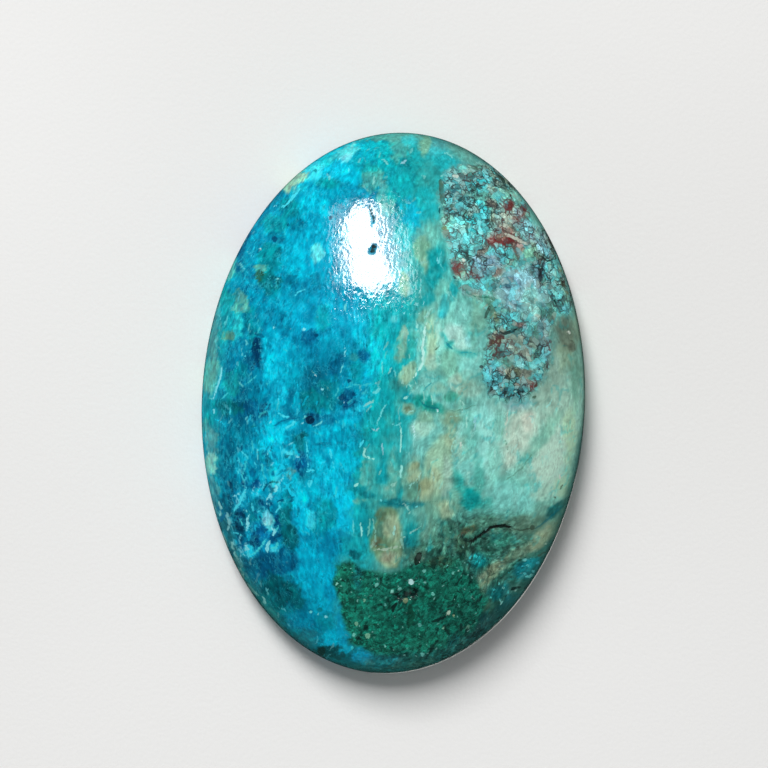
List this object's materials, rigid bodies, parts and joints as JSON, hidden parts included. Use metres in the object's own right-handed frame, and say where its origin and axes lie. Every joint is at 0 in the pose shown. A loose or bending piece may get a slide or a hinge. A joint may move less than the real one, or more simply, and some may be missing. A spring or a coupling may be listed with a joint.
{
  "type": "polished oval shattuckite cabochon",
  "caption": "Loose oval gemstone, domed and polished on its face and flat on its back, in mottled blue, teal and green copper minerals with a rusty brecciated patch; for setting in jewellery.",
  "frame": {"origin": "centre of the flat ground back, on the surface that the stone lies on", "axes": "+Z out of the back through the top of the dome, +Y along the stone's length, +X across it"},
  "size_m": [0.0176, 0.025, 0.006],
  "materials": {
    "polished_shattuckite": "polished to a gloss on the dome, satin on the girdle and back; mottled azure, cyan, teal and sage green with darker veins"
  },
  "bodies": {
    "root": {"cabochon": "polished_shattuckite"}
  },
  "joints": []
}
